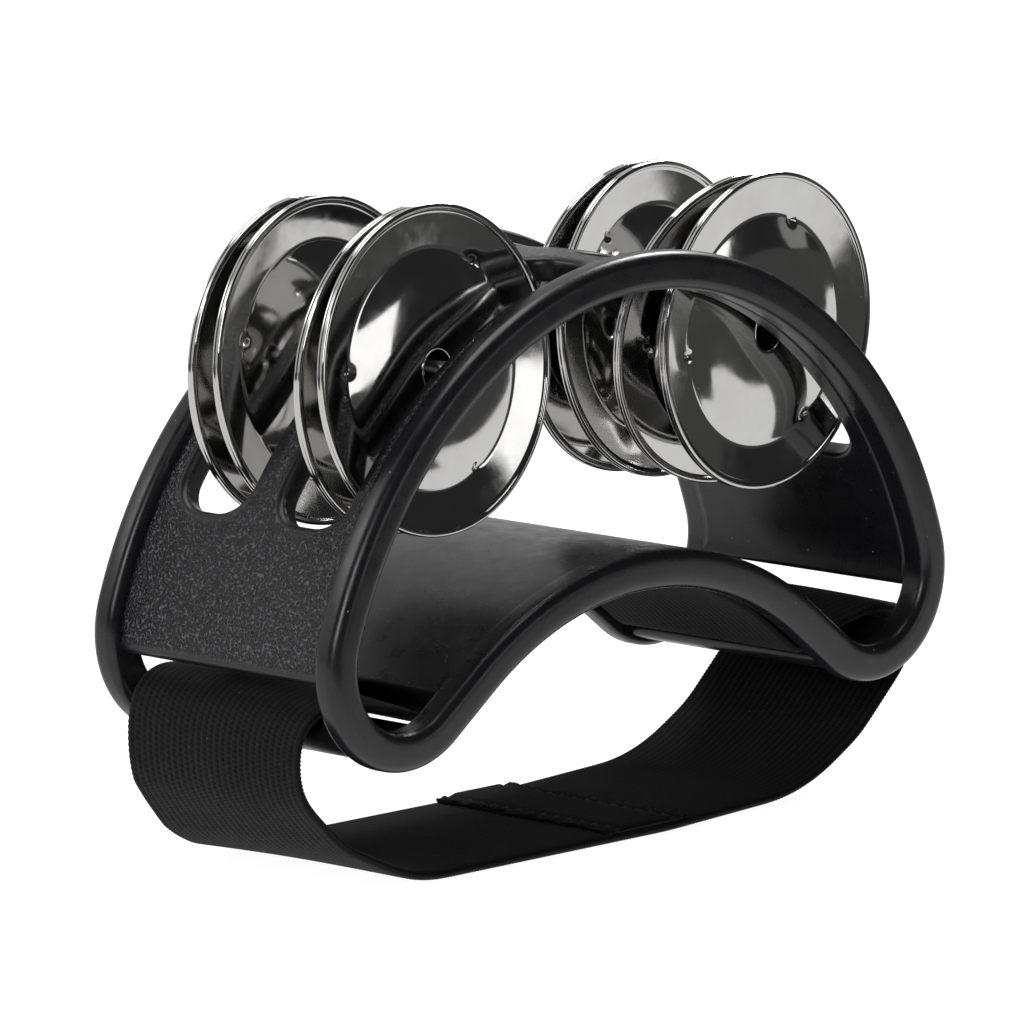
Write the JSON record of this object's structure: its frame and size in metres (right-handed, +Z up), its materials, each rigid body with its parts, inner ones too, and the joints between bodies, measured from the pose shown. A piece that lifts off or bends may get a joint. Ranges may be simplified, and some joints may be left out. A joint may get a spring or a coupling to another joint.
{
  "type": "foot tambourine",
  "caption": "Foot tambourine: a moulded arch that sits on the instep, pairs of loose metal jingles on steel pins in slots through its wall, and an elastic strap under the foot.",
  "frame": {"origin": "on the floor under the strap, midway between the frame's two sides and between its two rims", "axes": "+X to the player's right, +Y back along the foot, +Z up through the crown"},
  "size_m": [0.142, 0.052, 0.1026],
  "materials": {
    "frame_plastic": "semi-gloss rims, spark-grained wall",
    "pin_steel": "drawn steel wire",
    "jingle_steel": "polished",
    "strap_webbing": "ribbed elastic webbing",
    "stitch_thread": "matt thread"
  },
  "bodies": {
    "frame": {"front_rim": "frame_plastic", "rear_rim": "frame_plastic", "outer_wall": "frame_plastic", "saddle_wall": "frame_plastic", "strap_bar_left": "frame_plastic", "strap_bar_right": "frame_plastic", "pin_left": "pin_steel", "pin_right": "pin_steel", "strap": "strap_webbing"},
    "jingle_left_front_outer": {"jingle_left_front_outer": "jingle_steel"},
    "jingle_left_front_inner": {"jingle_left_front_inner": "jingle_steel"},
    "jingle_left_rear_inner": {"jingle_left_rear_inner": "jingle_steel"},
    "jingle_left_rear_outer": {"jingle_left_rear_outer": "jingle_steel"},
    "jingle_right_front_outer": {"jingle_right_front_outer": "jingle_steel"},
    "jingle_right_front_inner": {"jingle_right_front_inner": "jingle_steel"},
    "jingle_right_rear_inner": {"jingle_right_rear_inner": "jingle_steel"},
    "jingle_right_rear_outer": {"jingle_right_rear_outer": "jingle_steel"}
  },
  "joints": [
    {"name": "jingle_left_front_outer_spin", "type": "hinge", "parent": "frame", "child": "jingle_left_front_outer", "pos_m": [-0.03741, -0.0146, 0.07744], "axis": [-0.0139, 0.9975, -0.0698], "continuous": true},
    {"name": "jingle_left_front_inner_spin", "type": "hinge", "parent": "frame", "child": "jingle_left_front_inner", "pos_m": [-0.03729, -0.01, 0.07716], "axis": [-0.0122, 0.9988, 0.0471], "continuous": true},
    {"name": "jingle_left_rear_inner_spin", "type": "hinge", "parent": "frame", "child": "jingle_left_rear_inner", "pos_m": [-0.03724, 0.0085, 0.07665], "axis": [-0.0488, 0.9971, -0.0576], "continuous": true},
    {"name": "jingle_left_rear_outer_spin", "type": "hinge", "parent": "frame", "child": "jingle_left_rear_outer", "pos_m": [-0.03736, 0.0131, 0.07649], "axis": [-0.0401, 0.9992, 0.0087], "continuous": true},
    {"name": "jingle_right_front_outer_spin", "type": "hinge", "parent": "frame", "child": "jingle_right_front_outer", "pos_m": [0.03768, -0.015, 0.07632], "axis": [-0.0227, 0.9995, 0.0227], "continuous": true},
    {"name": "jingle_right_front_inner_spin", "type": "hinge", "parent": "frame", "child": "jingle_right_front_inner", "pos_m": [0.03742, -0.00879, 0.07608], "axis": [0.0898, 0.9862, 0.1392], "continuous": true},
    {"name": "jingle_right_rear_inner_spin", "type": "hinge", "parent": "frame", "child": "jingle_right_rear_inner", "pos_m": [0.03734, 0.0076, 0.07605], "axis": [-0.0662, 0.9962, -0.0558], "continuous": true},
    {"name": "jingle_right_rear_outer_spin", "type": "hinge", "parent": "frame", "child": "jingle_right_rear_outer", "pos_m": [0.03739, 0.0123, 0.07605], "axis": [0.0139, 0.9981, 0.0593], "continuous": true}
  ]
}
